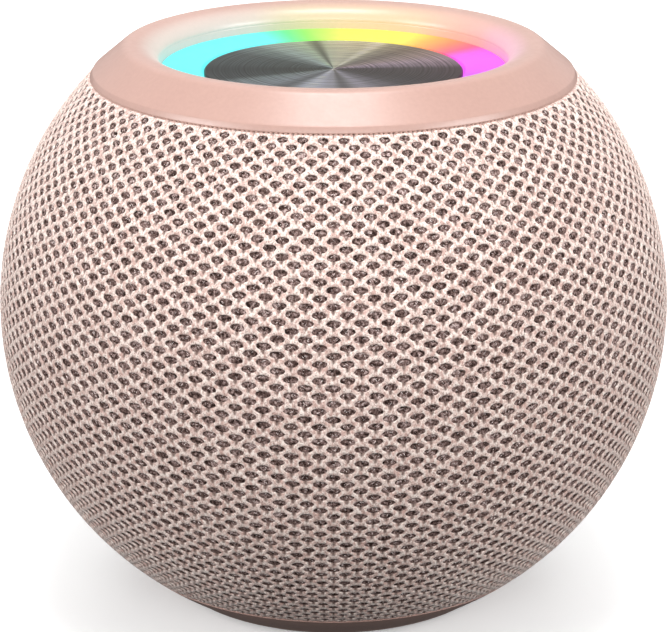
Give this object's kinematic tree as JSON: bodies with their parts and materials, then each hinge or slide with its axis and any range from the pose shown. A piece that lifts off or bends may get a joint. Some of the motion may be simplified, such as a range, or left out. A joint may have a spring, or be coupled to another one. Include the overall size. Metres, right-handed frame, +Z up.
{
  "type": "ball-shaped wireless speaker",
  "caption": "Ball-shaped wireless speaker with a knit cover, a light dish and spun metal disc in the top ring, and a flat rubber-footed base.",
  "frame": {"origin": "centre of the underside of the rubber foot, on the surface the speaker stands on", "axes": "+Z up through the top disc, -Y the front, +Y the control panel, +X to the right seen from the front"},
  "size_m": [0.098, 0.098, 0.0819],
  "materials": {
    "pink_plastic": "satin moulded plastic with a soft sheen",
    "pink_rubber": "soft-touch moulded silicone",
    "knit": "open spacer knit of pale pink yarn over dark brown lining",
    "black_plastic": "matte moulded plastic",
    "grey_plastic": "matte moulded plastic",
    "light_guide": "milky diffusing plastic, lit from below in rainbow colours",
    "spun_aluminium": "spun concentric grain with a chamfered edge",
    "circuit_board": "solder-mask coated board",
    "led_package": "white moulded package with clear resin",
    "dark_rubber": "matte non-slip rubber",
    "steel": "plain steel",
    "zinc_plate": "zinc-plated pressed steel",
    "nickel": "nickel-plated sheet",
    "ferrite": "sintered ferrite",
    "copper": "enamelled copper winding",
    "resin_cloth": "resin-stiffened woven cloth",
    "paper": "coated pulp cone",
    "soft_rubber": "flexible butyl rubber",
    "battery_wrap": "film-wrapped lithium cell"
  },
  "bodies": {
    "housing": {"knit_sleeve": "knit", "upper_shell": "black_plastic", "lower_shell": "black_plastic", "top_ring": "pink_plastic", "light_diffuser": "light_guide", "top_disc": "spun_aluminium", "disc_hub": "black_plastic", "led_board": "circuit_board", "rgb_led_1": "led_package", "rgb_led_2": "led_package", "rgb_led_3": "led_package", "rgb_led_4": "led_package", "rgb_led_5": "led_package", "rgb_led_6": "led_package", "rgb_led_7": "led_package", "rgb_led_8": "led_package", "base_cover": "pink_plastic", "rubber_foot": "dark_rubber", "base_screw_1": "steel", "base_screw_2": "steel", "base_screw_3": "steel", "base_screw_4": "steel", "acoustic_chamber": "grey_plastic", "driver_baffle": "grey_plastic", "sound_deflector": "black_plastic", "battery_tray": "black_plastic", "battery": "battery_wrap", "driver_gasket": "soft_rubber", "driver_basket": "zinc_plate", "driver_top_plate": "zinc_plate", "driver_magnet": "ferrite", "driver_yoke": "zinc_plate", "spider": "resin_cloth", "cone_surround": "soft_rubber", "radiator_frame": "black_plastic", "radiator_surround": "soft_rubber", "control_panel": "pink_plastic", "main_board": "circuit_board", "usb_c_shell": "nickel", "usb_c_tongue": "black_plastic", "status_light_pipe": "light_guide", "microphone": "nickel", "radio_module": "nickel", "amplifier_chip": "black_plastic", "switch_power": "steel", "switch_volume_down": "steel", "switch_play": "steel", "switch_volume_up": "steel", "switch_light": "steel"},
    "moving_cone": {"driver_cone": "paper", "dust_cap": "paper", "voice_coil": "copper"},
    "moving_radiator": {"radiator_plate": "steel"},
    "power_button": {"button_power": "pink_rubber"},
    "volume_down_button": {"button_volume_down": "pink_rubber"},
    "play_button": {"button_play": "pink_rubber"},
    "volume_up_button": {"button_volume_up": "pink_rubber"},
    "light_button": {"button_light": "pink_rubber"}
  },
  "joints": [
    {"name": "cone_slide", "type": "slide", "parent": "housing", "child": "moving_cone", "axis": [0, 0, 1], "range_m": [-0.0015, 0.0015], "stiffness_N_per_m": 1200, "deforming": ["cone_surround", "spider"]},
    {"name": "radiator_slide", "type": "slide", "parent": "housing", "child": "moving_radiator", "axis": [0, 0, 1], "range_m": [-0.002, 0.002], "stiffness_N_per_m": 400, "deforming": ["radiator_surround"]},
    {"name": "power_press", "type": "slide", "parent": "housing", "child": "power_button", "axis": [0, -1, 0], "range_m": [0, 0.0006], "stiffness_N_per_m": 2500},
    {"name": "volume_down_press", "type": "slide", "parent": "housing", "child": "volume_down_button", "axis": [0, -1, 0], "range_m": [0, 0.0006], "stiffness_N_per_m": 2500},
    {"name": "play_press", "type": "slide", "parent": "housing", "child": "play_button", "axis": [0, -1, 0], "range_m": [0, 0.0006], "stiffness_N_per_m": 2500},
    {"name": "volume_up_press", "type": "slide", "parent": "housing", "child": "volume_up_button", "axis": [0, -1, 0], "range_m": [0, 0.0006], "stiffness_N_per_m": 2500},
    {"name": "light_press", "type": "slide", "parent": "housing", "child": "light_button", "axis": [0, -1, 0], "range_m": [0, 0.0006], "stiffness_N_per_m": 2500}
  ]
}
